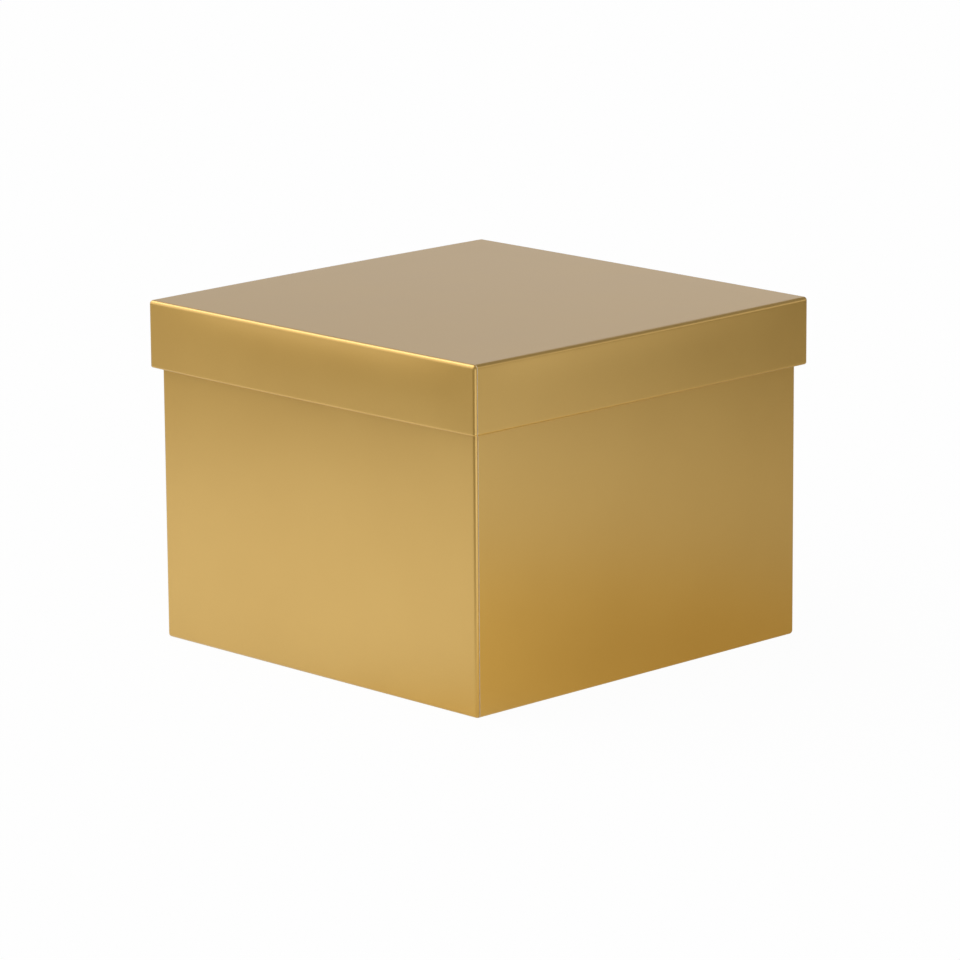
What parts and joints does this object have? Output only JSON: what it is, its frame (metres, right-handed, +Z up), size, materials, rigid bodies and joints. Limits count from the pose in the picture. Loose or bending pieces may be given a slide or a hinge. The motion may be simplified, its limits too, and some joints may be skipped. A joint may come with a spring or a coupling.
{
  "type": "favor box",
  "caption": "Square rigid favor box: a deep greyboard base and a shallow lift-off lid, both covered in satin gold foil paper and lined with white paper.",
  "frame": {"origin": "on the table under the middle of the base, which is the middle of the box's footprint", "axes": "+Z up, the way the lid lifts; +X and +Y square to the walls, with the front wall towards -Y"},
  "size_m": [0.102, 0.102, 0.076],
  "materials": {
    "gold_foil_paper": "satin",
    "greyboard": "matte",
    "stay_paper": "matte",
    "lining_paper": "matte"
  },
  "bodies": {
    "base": {"base_board": "greyboard", "base_stay_front_left": "stay_paper", "base_stay_front_right": "stay_paper", "base_stay_back_left": "stay_paper", "base_stay_back_right": "stay_paper", "base_cover": "gold_foil_paper", "base_lining": "lining_paper"},
    "lid": {"lid_board": "greyboard", "lid_stay_front_left": "stay_paper", "lid_stay_front_right": "stay_paper", "lid_stay_back_left": "stay_paper", "lid_stay_back_right": "stay_paper", "lid_cover": "gold_foil_paper", "lid_lining": "lining_paper"}
  },
  "joints": [
    {"name": "lid_lift", "type": "slide", "parent": "base", "child": "lid", "axis": [0, 0, 1], "range_m": [0, 0.06]}
  ]
}
